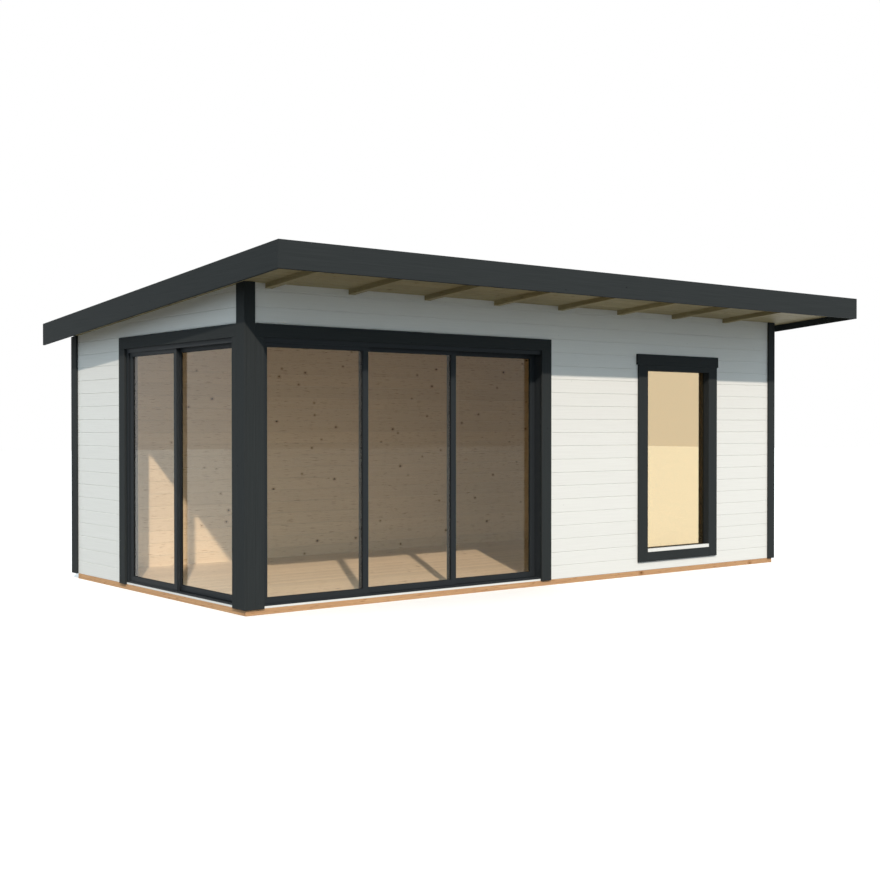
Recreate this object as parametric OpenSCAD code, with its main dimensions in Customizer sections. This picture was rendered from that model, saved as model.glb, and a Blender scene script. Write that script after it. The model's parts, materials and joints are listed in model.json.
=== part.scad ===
// Guest cabin with a mono-pitch roof: white boarded walls, two dark sliding glass units that
// meet at a corner post, one fixed window and a deep front eave. Millimetres, +Z up.
// X runs along the front to the right, Y to the back, and z = 0 is the ground.
// The origin is the middle of the base, at ground level.

/* [Base and floor] */
// Length of the base and walls along the front
length = 5970; // [5600:10:6400]
// Depth of the base and walls, front to back
depth = 2970; // [2800:10:3300]
// Height of the base beams
base_h = 44; // [40:1:70]
// Width of the base beams
base_w = 70; // [60:1:95]
// Width of each floor bearer
bearer_w = 45; // [35:1:60]
// Spacing of the floor bearers, centre to centre
bearer_pitch = 600; // [450:10:640]
// Thickness of the floor boards
floor_t = 16; // [16:1:26]

/* [Walls] */
// Thickness of the wall boards
wall_t = 44; // [34:1:60]
// Length of the side walls' ends past the back wall
wall_end = 82; // [60:1:120]

/* [Roof] */
// Height of the front eave's upper edge above the ground
eave_h = 2572; // [2520:1:2700]
// Pitch of the roof towards the back, in degrees
roof_pitch = 4.28; // [3:0.01:4.6]
// Reach of the roof past the front wall
overhang_front = 819; // [500:1:900]
// Reach of the roof past each side wall
overhang_side = 223; // [150:1:300]
// Reach of the roof past the back wall
overhang_back = 245; // [180:1:320]
// Height of the fascia boards
fascia_h = 191; // [180:1:230]
// Height of the fascia board at the back, which hangs from the same upper edge
back_fascia_h = 99; // [70:1:150]
// Thickness of the fascia boards
fascia_t = 20; // [16:1:28]
// Height of the rafters' lower face above the fascia's lower edge
rafter_rise = 25; // [10:1:40]
// Height of the ceiling boards' lower face above the fascia's lower edge
ceiling_rise = 62; // [45:1:80]
// Thickness of the ceiling boards
ceiling_t = 19; // [16:1:24]
// Thickness of the roof boards
deck_t = 18; // [15:1:24]
// Thickness of the roof covering
covering_t = 3; // [2:1:5]
// Width of each rafter
rafter_w = 60; // [45:1:75]
// Distance of the first rafter's centre from the left wall's face
rafter_start = 195; // [150:1:320]
// Spacing of the rafters, centre to centre
rafter_pitch = 721; // [650:1:740]
// Fitting gap between the roof's sloping undersides and what stands under them
roof_gap = 0.3; // [0.2:0.1:0.5]

/* [Dark trim boards] */
// Thickness of the trim boards
trim_t = 20; // [15:1:23]
// Width of a front corner board on the side wall's face
corner_w = 98; // [90:1:110]
// Width of a front corner board on the front wall's face
post_w = 71; // [60:1:80]
// Reach of the back corner boards over the side wall, forward of the base's end
back_corner_lap = 5; // [0:1:40]
// Width of the trim beside the doors, away from the corner post
door_trim_w = 108; // [90:1:115]
// Height of the trim over the doors
header_h = 97; // [85:1:105]
// Height of the wall between the doors' trim and the rafters, at the front wall's face
wall_over_trim = 254; // [200:1:300]
// Width of the door frame that shows past its trim, over the doors and beside the left unit
frame_show = 35; // [25:1:40]
// Reach of the front unit's side trims past the inner face of the frame
front_trim_reach = 12; // [0:1:20]

/* [Sliding doors] */
// Width of the frame's side members
jamb_w = 45; // [42:1:50]
// Thickness of the frame's lips, in front of and behind the leaves
lip_t = 7; // [5:1:9]
// Thickness of the sill plate
sill_plate_t = 8; // [6:1:12]
// Height of the sill's lips
sill_lip_h = 14; // [10:1:20]
// Thickness of the head plate
head_plate_t = 24; // [20:1:30]
// Depth of the head channel that the leaves reach up into
head_channel = 21; // [18:1:26]
// Free space over a leaf in the head channel
head_gap = 9; // [6:1:12]
// Width of the track rib under each leaf
track_rib_w = 8; // [5:1:12]
// Distance of the front unit's free width from the left wall's face
front_door_start = 132; // [126:1:140]
// Free width of the front unit
front_door_clear = 2726; // [2400:1:2760]
// Distance of the left unit's free width from the front wall's face
left_door_start = 197; // [190:1:205]
// Free width of the left unit
left_door_clear = 1730; // [1600:1:1760]
// Width of the left unit's fixed leaf
left_fixed_w = 831; // [700:1:850]
// Thickness of a leaf
leaf_t = 28; // [24:1:30]
// Width of a leaf's upright members
stile_w = 50; // [38:1:55]
// Height of a leaf's lower and upper members
rail_h = 44; // [38:1:55]
// Free space between two leaves and between a leaf and the frame
leaf_gap = 6; // [5:0.5:7]
// Running gap between a leaf and its track
track_gap = 0.3; // [0.2:0.1:0.5]
// Thickness of the glass
glass_t = 6; // [4:1:8]

/* [Window] */
// Distance of the window's left inner edge from the left wall's face
window_start = 4153; // [4100:1:4200]
// Free width of the window
window_w = 840; // [700:1:880]
// Height of the glass's lower edge above the base
window_sill_z = 196; // [185:1:230]
// Distance of the window trim's upper edge below the upper edge of the doors' trim
window_drop = 83; // [60:1:200]
// Width of the window frame's members behind the trim
window_frame_w = 40; // [30:1:50]
// Depth of the window frame
window_frame_d = 60; // [50:1:80]
// Distance of the glass behind the wall's face
window_glass_in = 43; // [30:1:44]
// Width of the trim at the window's sides
window_trim_w = 118; // [100:1:125]
// Height of the trim under the window
window_trim_low = 86; // [70:1:100]
// Height of the inner trim over the window
window_trim_top = 49; // [45:1:65]
// Height of the outer trim over the window
window_header_h = 98; // [80:1:100]
// Reach of the outer trim past the side trims
window_ear = 18; // [10:1:22]
// Height of the white sill board
sill_board_h = 30; // [20:1:40]
// Depth of the white sill board in front of the wall's face
sill_board_d = 24; // [21:1:30]

/* [Hidden] */
// Reach of a cut past the face it leaves by
cut = 1;
front_leaves = 3;
left_leaves = 2;
outer_track = 0;
middle_track = 1;
inner_track = 2;

slope = tan(roof_pitch);
roof_front = -overhang_front;
roof_back = depth + overhang_back;
fascia_low = eave_h - fascia_h;
deck_rise = fascia_h - covering_t - deck_t;
under_rafters = rafter_rise - roof_gap;
under_ceiling = ceiling_rise - roof_gap;
rafter_count = floor((length - rafter_start - corner_w - rafter_w) / rafter_pitch) + 1;
rafter_x = [for (i = [0 : rafter_count - 1]) rafter_start + i * rafter_pitch];

back_inside = depth - wall_t;
side_back = depth + wall_end;

header_top = roof_z(0) + rafter_rise - wall_over_trim;
header_low = header_top - header_h;
channel_top = header_low - frame_show + head_channel;
frame_top = channel_top + head_plate_t;
frame_low = base_h + floor_t;
leaf_low = frame_low + sill_plate_t + leaf_gap;
leaf_h = channel_top - head_gap - leaf_low;
leaf_in = lip_t + leaf_gap;
leaf_pitch = leaf_t + leaf_gap;

front_door_end = front_door_start + front_door_clear;
front_frame_left = front_door_start - jamb_w;
front_frame_right = front_door_end + jamb_w;
front_leaf_w = (front_door_clear - 2 * leaf_gap + (front_leaves - 1) * stile_w) / front_leaves;
front_leaf_x = [
    for (i = [0 : front_leaves - 1]) front_door_start + leaf_gap + i * (front_leaf_w - stile_w)
];
front_trim_right = front_door_end - front_trim_reach + door_trim_w;

left_door_end = left_door_start + left_door_clear;
left_frame_near = left_door_start - jamb_w;
left_frame_far = left_door_end + jamb_w;
left_slide_w = left_door_clear - 2 * leaf_gap - left_fixed_w + stile_w;
left_trim_far = left_door_end + frame_show + door_trim_w;

glass_low = base_h + window_sill_z;
window_end = window_start + window_w;
window_header_z = header_top - window_drop - window_header_h;
glass_high = window_header_z - window_trim_top;
window_hole_left = window_start - window_frame_w;
window_hole_right = window_end + window_frame_w;
window_hole_low = glass_low - window_frame_w;
window_hole_high = glass_high + window_frame_w;

white = "#eef0ec";
dark = "#3b4042";
pine = "#c9a878";
treated = "#c4935f";
tint = "#6f604d";
roofing = "#2c2e30";

// Height of the fascia's lower edge above the ground at a distance y from the front wall's face
function roof_z(y) = fascia_low - slope * (y - roof_front);

// Children drawn from the base's front-left corner
module site() {
    translate([-length / 2, -depth / 2, 0]) children();
}

// A block between two corners
module block(low, high) {
    translate(low) cube(high - low);
}

// A prism along X whose outline lies in the YZ plane
module along_x(x0, x1, outline) {
    translate([x0, 0, 0])
        rotate([90, 0, 90])
            linear_extrude(x1 - x0) polygon(outline);
}

// A slab that follows the roof's slope, between two heights above the fascia's lower edge
module roof_slab(x0, x1, y0, y1, low, high) {
    along_x(x0, x1, [
        [y0, roof_z(y0) + low], [y1, roof_z(y1) + low],
        [y1, roof_z(y1) + high], [y0, roof_z(y0) + high]
    ]);
}

// An upright piece from a level foot to the roof's slope
module to_roof(x0, x1, y0, y1, z0, rise) {
    along_x(x0, x1, [[y0, z0], [y1, z0], [y1, roof_z(y1) + rise], [y0, roof_z(y0) + rise]]);
}

// ---- base and floor ----

module long_base_beams() {
    color(treated) site() {
        block([0, 0, 0], [length, base_w, base_h]);
        block([0, depth - base_w, 0], [length, depth, base_h]);
    }
}

module short_base_beams() {
    color(treated) site() {
        block([0, base_w, 0], [base_w, depth - base_w, base_h]);
        block([length - base_w, base_w, 0], [length, depth - base_w, base_h]);
    }
}

module floor_bearers() {
    each_side = floor((length / 2 - base_w - bearer_w) / bearer_pitch);
    color(treated) site()
        for (i = [-each_side : each_side]) {
            middle = length / 2 + i * bearer_pitch;
            block([middle - bearer_w / 2, base_w, 0], [middle + bearer_w / 2, depth - base_w, base_h]);
        }
}

module floor_boards() {
    color(pine) site()
        block([wall_t, wall_t, base_h], [length - wall_t, back_inside, base_h + floor_t]);
}

// ---- walls ----

module corner_post() {
    color(white) site() {
        block([0, 0, base_h], [wall_t, left_frame_near, frame_top]);
        block([wall_t, 0, base_h], [front_frame_left, wall_t, frame_top]);
    }
}

module front_wall_over_door() {
    color(white) site()
        to_roof(wall_t, front_frame_right, 0, wall_t, frame_top, under_rafters);
}

module front_wall_middle() {
    color(white) site()
        to_roof(front_frame_right, window_hole_left, 0, wall_t, base_h, under_rafters);
}

module front_wall_over_window() {
    color(white) site()
        to_roof(window_hole_left, window_hole_right, 0, wall_t, window_hole_high, under_rafters);
}

module front_wall_under_window() {
    color(white) site()
        block([window_hole_left, 0, base_h], [window_hole_right, wall_t, window_hole_low]);
}

module front_wall_right() {
    color(white) site()
        to_roof(window_hole_right, length - wall_t, 0, wall_t, base_h, under_rafters);
}

module left_wall_over_door() {
    color(white) site()
        to_roof(0, wall_t, 0, left_frame_far, frame_top, under_ceiling);
}

module left_wall_rear() {
    color(white) site()
        to_roof(0, wall_t, left_frame_far, side_back, base_h, under_ceiling);
}

module right_wall() {
    color(white) site()
        to_roof(length - wall_t, length, 0, side_back, base_h, under_ceiling);
}

module back_wall() {
    color(white) site()
        to_roof(wall_t, length - wall_t, back_inside, depth, base_h, under_rafters);
}

// ---- roof ----

// Low and high X of each bay between the rafters, from a left edge to a right edge
function bays(left, right) = [
    for (i = [0 : rafter_count])
        [
            i == 0 ? left : rafter_x[i - 1] + rafter_w / 2,
            i == rafter_count ? right : rafter_x[i] - rafter_w / 2
        ]
];

module rafters() {
    color(pine) site()
        for (x = rafter_x)
            roof_slab(x - rafter_w / 2, x + rafter_w / 2, roof_front + fascia_t, roof_back - fascia_t,
                      rafter_rise, deck_rise);
}

module rafter_blocks() {
    color(white) site()
        for (bay = bays(wall_t, length - wall_t), y = [0, back_inside])
            roof_slab(bay[0], bay[1], y, y + wall_t, rafter_rise, under_ceiling);
}

module ceiling_boards() {
    left = fascia_t - overhang_side;
    color(pine) site()
        for (bay = bays(left, length - left))
            roof_slab(bay[0], bay[1], roof_front + fascia_t, depth,
                      ceiling_rise, ceiling_rise + ceiling_t);
}

// A sheet over the whole roof inside the fascia boards
module roof_sheet(low, high) {
    left = fascia_t - overhang_side;
    roof_slab(left, length - left, roof_front + fascia_t, roof_back - fascia_t, low, high);
}

module roof_boards() {
    color(pine) site() roof_sheet(deck_rise, deck_rise + deck_t);
}

module roof_covering() {
    color(roofing) site() roof_sheet(deck_rise + deck_t, fascia_h);
}

module front_fascia() {
    color(dark) site()
        roof_slab(-overhang_side, length + overhang_side, roof_front, roof_front + fascia_t, 0, fascia_h);
}

module back_fascia() {
    color(dark) site()
        roof_slab(fascia_t - overhang_side, length + overhang_side - fascia_t,
                  roof_back - fascia_t, roof_back, fascia_h - back_fascia_h, fascia_h);
}

module side_fascias() {
    color(dark) site()
        for (x = [-overhang_side, length + overhang_side - fascia_t])
            roof_slab(x, x + fascia_t, roof_front + fascia_t, roof_back, 0, fascia_h);
}

// ---- corner boards ----

module front_left_corner_boards() {
    color(dark) site() {
        to_roof(-trim_t, 0, -trim_t, corner_w, base_h, under_ceiling);
        to_roof(0, post_w, -trim_t, 0, base_h, under_ceiling);
    }
}

module front_right_corner_boards() {
    color(dark) site() {
        to_roof(length, length + trim_t, -trim_t, corner_w, base_h, under_ceiling);
        to_roof(length - post_w, length, -trim_t, 0, base_h, under_ceiling);
    }
}

// Boards over the end of a side wall, the outer one from side_x to side_x + trim_t
module back_corner_boards(side_x, wall_x) {
    to_roof(side_x, side_x + trim_t, depth - back_corner_lap, side_back + trim_t, base_h, under_ceiling);
    to_roof(wall_x, wall_x + wall_t, side_back, side_back + trim_t, base_h, under_ceiling);
}

module back_left_corner_boards() {
    color(dark) site() back_corner_boards(-trim_t, 0);
}

module back_right_corner_boards() {
    color(dark) site() back_corner_boards(length, length - wall_t);
}

// ---- trim around the doors ----

module front_door_header_trim() {
    color(dark) site()
        block([post_w, -trim_t, header_low], [front_trim_right, 0, header_top]);
}

module front_door_side_trims() {
    color(dark) site() {
        block([post_w, -trim_t, base_h], [front_door_start + front_trim_reach, 0, header_low]);
        block([front_trim_right - door_trim_w, -trim_t, base_h], [front_trim_right, 0, header_low]);
    }
}

module left_door_header_trim() {
    color(dark) site()
        block([-trim_t, corner_w, header_low], [0, left_trim_far, header_top]);
}

module left_door_side_trims() {
    color(dark) site() {
        block([-trim_t, corner_w, base_h], [0, left_door_start - frame_show, header_low]);
        block([-trim_t, left_trim_far - door_trim_w, base_h], [0, left_trim_far, header_low]);
    }
}

// ---- sliding doors ----

// Depth of a frame that holds a number of leaves
function frame_depth(leaves) = 2 * lip_t + leaves * leaf_t + (leaves + 1) * leaf_gap;

// Children drawn with X along the left wall and Y into the room
module left_side() {
    mirror([1, -1, 0]) children();
}

// A frame from its outer lower corner, with one track for each leaf
module door_frame(clear_w, leaves) {
    deep = frame_depth(leaves);
    high = frame_top - frame_low;
    right = jamb_w + clear_w;
    head = high - head_plate_t;
    block([0, 0, 0], [jamb_w, deep, high]);
    block([right, 0, 0], [right + jamb_w, deep, high]);
    block([0, 0, 0], [right + jamb_w, deep, sill_plate_t]);
    block([0, 0, head], [right + jamb_w, deep, high]);
    for (y = [0, deep - lip_t]) {
        block([0, y, 0], [right, y + lip_t, sill_lip_h]);
        block([0, y, head - head_channel], [right, y + lip_t, high]);
    }
    for (i = [0 : leaves - 1]) {
        middle = leaf_in + i * leaf_pitch + leaf_t / 2;
        block([0, middle - track_rib_w / 2, 0],
              [right, middle + track_rib_w / 2, sill_plate_t + leaf_gap - track_gap]);
    }
}

module leaf_frame(w) {
    difference() {
        block([0, 0, 0], [w, leaf_t, leaf_h]);
        block([stile_w, -cut, rail_h], [w - stile_w, leaf_t + cut, leaf_h - rail_h]);
    }
}

module leaf_glass(w) {
    face = (leaf_t - glass_t) / 2;
    block([stile_w, face, rail_h], [w - stile_w, face + glass_t, leaf_h - rail_h]);
}

// Children placed on a track of the front unit, counted from the outer one
module front_leaf(track) {
    site() translate([front_leaf_x[track], leaf_in + track * leaf_pitch, leaf_low]) children();
}

// Children placed on a track of the left unit, counted from the outer one
module left_leaf(track, y) {
    site() left_side() translate([y, leaf_in + track * leaf_pitch, leaf_low]) children();
}

module door_sill_boards() {
    color(white) site() {
        block([front_frame_left, 0, base_h], [front_frame_right, wall_t, frame_low]);
        block([0, left_frame_near, base_h], [wall_t, left_frame_far, frame_low]);
    }
}

module front_door_frame() {
    color(dark) site()
        translate([front_frame_left, 0, frame_low]) door_frame(front_door_clear, front_leaves);
}

module left_door_frame() {
    color(dark) site() left_side()
        translate([left_frame_near, 0, frame_low]) door_frame(left_door_clear, left_leaves);
}

module front_fixed_sash() {
    color(dark) front_leaf(outer_track) leaf_frame(front_leaf_w);
}

module front_middle_sash() {
    color(dark) front_leaf(middle_track) leaf_frame(front_leaf_w);
}

module front_right_sash() {
    color(dark) front_leaf(inner_track) leaf_frame(front_leaf_w);
}

module left_fixed_sash() {
    color(dark) left_leaf(outer_track, left_door_end - leaf_gap - left_fixed_w) leaf_frame(left_fixed_w);
}

module left_sliding_sash() {
    color(dark) left_leaf(middle_track, left_door_start + leaf_gap) leaf_frame(left_slide_w);
}

module fixed_glass() {
    color(tint) {
        front_leaf(outer_track) leaf_glass(front_leaf_w);
        left_leaf(outer_track, left_door_end - leaf_gap - left_fixed_w) leaf_glass(left_fixed_w);
        site() block([window_start, window_glass_in, glass_low],
                     [window_end, window_glass_in + glass_t, glass_high]);
    }
}

module front_middle_glass() {
    color(tint) front_leaf(middle_track) leaf_glass(front_leaf_w);
}

module front_right_glass() {
    color(tint) front_leaf(inner_track) leaf_glass(front_leaf_w);
}

module left_sliding_glass() {
    color(tint) left_leaf(middle_track, left_door_start + leaf_gap) leaf_glass(left_slide_w);
}

// ---- window ----

module window_frame() {
    color(dark) site()
        difference() {
            block([window_hole_left, 0, window_hole_low],
                  [window_hole_right, window_frame_d, window_hole_high]);
            block([window_start, -cut, glass_low], [window_end, window_frame_d + cut, glass_high]);
        }
}

module window_trim() {
    low = glass_low - sill_board_h;
    left = window_start - window_trim_w;
    right = window_end + window_trim_w;
    color(dark) site() {
        block([left, -trim_t, low - window_trim_low], [right, 0, low]);
        block([left, -trim_t, low - window_trim_low], [window_start, 0, window_header_z]);
        block([window_end, -trim_t, low - window_trim_low], [right, 0, window_header_z]);
        block([left, -trim_t, glass_high], [right, 0, window_header_z]);
        block([left - window_ear, -trim_t, window_header_z],
              [right + window_ear, 0, window_header_z + window_header_h]);
    }
}

module window_sill() {
    color(white) site()
        block([window_start, -sill_board_d, glass_low - sill_board_h], [window_end, 0, glass_low]);
}

long_base_beams();
short_base_beams();
floor_bearers();
floor_boards();
corner_post();
front_wall_over_door();
front_wall_middle();
front_wall_over_window();
front_wall_under_window();
front_wall_right();
left_wall_over_door();
left_wall_rear();
right_wall();
back_wall();
rafters();
rafter_blocks();
ceiling_boards();
roof_boards();
roof_covering();
front_fascia();
back_fascia();
side_fascias();
front_left_corner_boards();
front_right_corner_boards();
back_left_corner_boards();
back_right_corner_boards();
front_door_header_trim();
front_door_side_trims();
left_door_header_trim();
left_door_side_trims();
door_sill_boards();
front_door_frame();
left_door_frame();
front_fixed_sash();
front_middle_sash();
front_right_sash();
left_fixed_sash();
left_sliding_sash();
fixed_glass();
front_middle_glass();
front_right_glass();
left_sliding_glass();
window_frame();
window_trim();
window_sill();
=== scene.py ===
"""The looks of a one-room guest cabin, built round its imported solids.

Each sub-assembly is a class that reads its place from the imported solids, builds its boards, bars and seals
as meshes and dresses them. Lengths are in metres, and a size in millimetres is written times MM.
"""

import json
import logging
import math
import random
from dataclasses import dataclass
from enum import Enum
from typing import Callable, Iterator, Sequence

import bmesh
import bpy
from bmesh.types import BMFace
from bpy.types import ID, Material, Node, NodeSocket, Object, World
from mathutils import Matrix, Vector

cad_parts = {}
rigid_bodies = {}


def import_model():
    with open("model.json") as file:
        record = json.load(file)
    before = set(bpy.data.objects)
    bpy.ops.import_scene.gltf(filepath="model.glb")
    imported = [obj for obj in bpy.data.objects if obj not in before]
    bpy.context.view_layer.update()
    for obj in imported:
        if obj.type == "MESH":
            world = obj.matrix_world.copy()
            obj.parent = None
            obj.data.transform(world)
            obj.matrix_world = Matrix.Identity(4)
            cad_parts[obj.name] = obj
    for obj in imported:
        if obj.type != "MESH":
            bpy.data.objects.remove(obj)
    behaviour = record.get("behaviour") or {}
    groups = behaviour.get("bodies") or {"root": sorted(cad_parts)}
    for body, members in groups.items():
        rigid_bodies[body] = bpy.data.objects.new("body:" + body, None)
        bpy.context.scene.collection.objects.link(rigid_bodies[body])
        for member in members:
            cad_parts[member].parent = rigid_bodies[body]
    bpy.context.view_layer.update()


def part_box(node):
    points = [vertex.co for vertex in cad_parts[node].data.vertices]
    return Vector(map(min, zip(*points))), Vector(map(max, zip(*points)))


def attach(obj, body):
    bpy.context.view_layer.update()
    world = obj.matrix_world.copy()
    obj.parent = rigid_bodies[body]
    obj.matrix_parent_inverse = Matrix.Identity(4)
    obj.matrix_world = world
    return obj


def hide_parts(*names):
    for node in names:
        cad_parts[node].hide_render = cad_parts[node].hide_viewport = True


LOG = logging.getLogger("guest_cabin")
MM = 0.001

RIGHT = Vector((1.0, 0.0, 0.0))
BACK = Vector((0.0, 1.0, 0.0))
UP = Vector((0.0, 0.0, 1.0))

Point2 = tuple[float, float]
Sockets = dict[str | int, object]


# ---- colour and nodes ----


def linear(colour: str) -> tuple[float, float, float, float]:
    """Turns an sRGB hex colour to the linear values that shaders take.

    Args:
        colour: Six hex digits after a hash sign.

    Returns:
        Red, green, blue, and 1 for a solid colour.
    """
    red, green, blue = (int(colour[start : start + 2], 16) / 255 for start in (1, 3, 5))
    channels = [v / 12.92 if v <= 0.04045 else ((v + 0.055) / 1.055) ** 2.4 for v in (red, green, blue)]
    return (*channels, 1.0)


class Graph:
    """A material or world and its node tree."""

    def __init__(self, holder: Material | World) -> None:
        """Empties a node tree.

        Args:
            holder: What the tree belongs to.
        """
        holder.use_nodes = True
        self.holder = holder
        self.tree = holder.node_tree
        self.tree.nodes.clear()

    @classmethod
    def named(cls, name: str) -> "Graph":
        """Makes an empty material of that name."""
        return cls(bpy.data.materials.new(name))

    def add(
        self,
        kind: str,
        sockets: Sockets | None = None,
        stops: Sequence[tuple[float, str]] = (),
        **settings: object,
    ) -> Node:
        """Adds a node with its settings, socket values and links.

        Args:
            kind: The node's type, after "ShaderNode".
            sockets: What each input gets, by name or place: a value, or the socket or node that feeds it.
            stops: Positions and hex colours, for a colour ramp.
            settings: The node's own properties.

        Returns:
            The new node.
        """
        node = self.tree.nodes.new(f"ShaderNode{kind}")
        for key, value in settings.items():
            setattr(node, key, value)
        for key, value in (sockets or {}).items():
            source = value.outputs[0] if isinstance(value, Node) else value
            if isinstance(source, NodeSocket):
                self.tree.links.new(source, node.inputs[key])
            else:
                node.inputs[key].default_value = source
        if stops:
            elements = node.color_ramp.elements
            while len(elements) < len(stops):
                elements.new(1.0)
            for element, (position, colour) in zip(elements, stops):
                element.position = position
                element.color = linear(colour)
        return node

    def on_boards(self, stretch: float, width: float) -> Node:
        """Places a pattern along and across each board.

        Args:
            stretch: How long a streak of the pattern is, in metres.
            width: How wide the streak is, in metres.

        Returns:
            The node that gives the place.
        """
        grain = self.add("UVMap", uv_map=Timber.GRAIN)
        return self.add("VectorMath", {0: grain, 1: (1 / stretch, 1 / width, 1.0)}, operation="MULTIPLY")


# ---- finishes ----


@dataclass(frozen=True)
class Finish:
    """A surface finish that makes its material once, when it is first asked for."""

    name: str = "finish"
    # the name of the record's material slot for this finish
    slot: str = "white_boards"

    def material(self) -> Material:
        """Returns the finish's material, made on first use."""
        return bpy.data.materials.get(self.name) or self.make()

    def make(self) -> Material:
        """Makes the material: one shader, fed by the finish's own pattern.

        Returns:
            The material.
        """
        g = Graph.named(self.name)
        shader = g.add("BsdfPrincipled", self.pattern(g))
        g.add("OutputMaterial", {"Surface": self.surface(g, shader)})
        return g.holder

    def pattern(self, g: Graph) -> Sockets:
        """Returns what the shader's sockets get. Each finish has its own."""
        raise NotImplementedError

    def surface(self, g: Graph, shader: Node) -> Node:
        """Returns the node that the surface shows: the shader alone."""
        return shader


@dataclass(frozen=True)
class Knots:
    """Where a board's knots are and how large they are."""

    cell: float = 190 * MM
    radius: float = 9 * MM
    share: float = 0.22
    stretch: float = 1.25
    smallest: float = 0.3
    # parts of a cell: a knot's soft rim, how far out its halo starts and how far in it is full
    edge: float = 0.008
    halo: float = 0.09
    core: float = 0.01

    def mask(self, g: Graph) -> tuple[Node, Node]:
        """Draws the knots as spots on the boards.

        Args:
            g: The material's graph.

        Returns:
            A node that is 1 inside a knot, and one that falls off from 1 around it.
        """
        place = g.on_boards(self.cell * self.stretch, self.cell)
        cells = g.add("TexVoronoi", {"Vector": place, "Scale": 1.0}, voronoi_dimensions="2D")
        pick = g.add("SeparateColor", {"Color": cells.outputs["Color"]})
        largest, least = self.radius / self.cell, 1 - self.share
        ends = {"From Min": least, "From Max": 1.0, "To Min": self.smallest * largest, "To Max": largest}
        size = g.add("MapRange", {"Value": pick, **ends})
        spot = g.add("Math", {0: cells, 1: size}, operation="SUBTRACT")
        present = g.add("Math", {0: pick, 1: least}, operation="GREATER_THAN")
        masks = []
        for start, end in ((0.0, -self.edge), (self.halo, -self.core)):
            shape = g.add("MapRange", {"Value": spot, "From Min": start, "From Max": end})
            masks.append(g.add("Math", {0: shape, 1: present}, operation="MULTIPLY"))
        return masks[0], masks[1]


@dataclass(frozen=True)
class BoardFinish(Finish):
    """What bare and painted boards share: knots, and a tone for each board."""

    knot: str = "#33241a"
    roughness: float = 0.55
    specular: float = 0.2
    tone_spread: float = 0.08
    knots: Knots = Knots()

    def toned(self, g: Graph, colour: Node, lightest: float) -> Node:
        """Gives each board its own tone, because no two come from one tree.

        Args:
            g: The material's graph.
            colour: The node of the boards' colour.
            lightest: The lightest board's tone.

        Returns:
            The node of the toned colour.
        """
        tone = g.add("Attribute", attribute_name=Timber.TONE)
        ends = {"To Min": 1 - self.tone_spread, "To Max": lightest}
        value = g.add("MapRange", {"Value": tone.outputs["Fac"], **ends})
        return g.add("HueSaturation", {"Color": colour, "Value": value})

    def knotted(self, g: Graph, inside: Node, colour: Node | NodeSocket, bump: Node) -> Sockets:
        """Lays the knots over the boards' colour.

        Args:
            g: The material's graph.
            inside: The node that is 1 inside a knot.
            colour: The boards' colour.
            bump: The boards' relief.

        Returns:
            What the shader's sockets get.
        """
        mixed = g.add("Mix", {0: inside, 6: colour, 7: linear(self.knot)}, data_type="RGBA")
        gloss = {"Roughness": self.roughness, "Specular IOR Level": self.specular}
        return {"Base Color": mixed.outputs[2], "Normal": bump, **gloss}


@dataclass(frozen=True)
class BareWood(BoardFinish):
    """Planed softwood with no paint: warm, with growth rings along the board and dark knots."""

    name: str = "planed_pine"
    slot: str = "pine_timber"
    pale: str = "#ebe2d2"
    ring: str = "#e5d9c5"
    streak: str = "#c9b79c"
    ring_width: float = 7 * MM
    ring_length: float = 900 * MM
    # the real fibres are finer than the render shows, so these are drawn coarser
    fibre_width: float = 1.6 * MM
    fibre_length: float = 60 * MM
    fibre_share: float = 0.25
    fibre_relief: float = 0.4 * MM
    streak_length: float = 110 * MM
    streak_width: float = 6 * MM
    # how strong the noise is where a streak starts, and where it is full
    streak_noise: Point2 = (0.70, 0.76)
    # how far the grain bends round a knot, in ring widths
    bend: float = 1.5

    def pattern(self, g: Graph) -> Sockets:
        """Draws the wood's rings, fibres, board tones, streaks and knots.

        Args:
            g: The material's graph.

        Returns:
            What the shader's sockets get.
        """
        flat = {"noise_dimensions": "2D"}
        inside, halo = self.knots.mask(g)
        bend = g.add("VectorMath", {0: halo, "Scale": self.bend}, operation="SCALE")
        rings_at = g.on_boards(self.ring_length, self.ring_width)
        bent = g.add("VectorMath", {0: rings_at, 1: bend}, operation="ADD")
        wavy = {"Scale": 1.0, "Detail": 3.0, "Roughness": 0.55, "Distortion": 0.35}
        rings = g.add("TexNoise", {"Vector": bent, **wavy}, **flat)
        fibres_at = g.on_boards(self.fibre_length, self.fibre_width)
        fine = {"Scale": 1.0, "Detail": 2.0, "Roughness": 0.6}
        fibres = g.add("TexNoise", {"Vector": fibres_at, **fine}, **flat)
        figure = g.add("Mix", {0: self.fibre_share, 2: rings, 3: fibres}, data_type="FLOAT")
        wood = g.add("ValToRGB", {"Fac": figure}, stops=((0.38, self.ring), (0.62, self.pale)))
        toned = self.toned(g, wood, 1 + self.tone_spread / 2)
        # short resin streaks, a few to a board
        streaks_at = g.on_boards(self.streak_length, self.streak_width)
        streaks = g.add("TexNoise", {"Vector": streaks_at, "Scale": 1.0, "Detail": 1.0}, **flat)
        weak, full = self.streak_noise
        streak = g.add("MapRange", {"Value": streaks, "From Min": weak, "From Max": full})
        marks = g.add("Math", {0: halo, 1: streak}, operation="MAXIMUM")
        stain = {"data_type": "RGBA", "blend_type": "MULTIPLY"}
        shaded = g.add("Mix", {0: marks, 6: toned, 7: linear(self.streak)}, **stain)
        relief = g.add("Math", {0: fibres, 1: inside}, operation="SUBTRACT")
        bump = g.add("Bump", {"Strength": 0.25, "Distance": self.fibre_relief, "Height": relief})
        return self.knotted(g, inside, shaded.outputs[2], bump)


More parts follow.
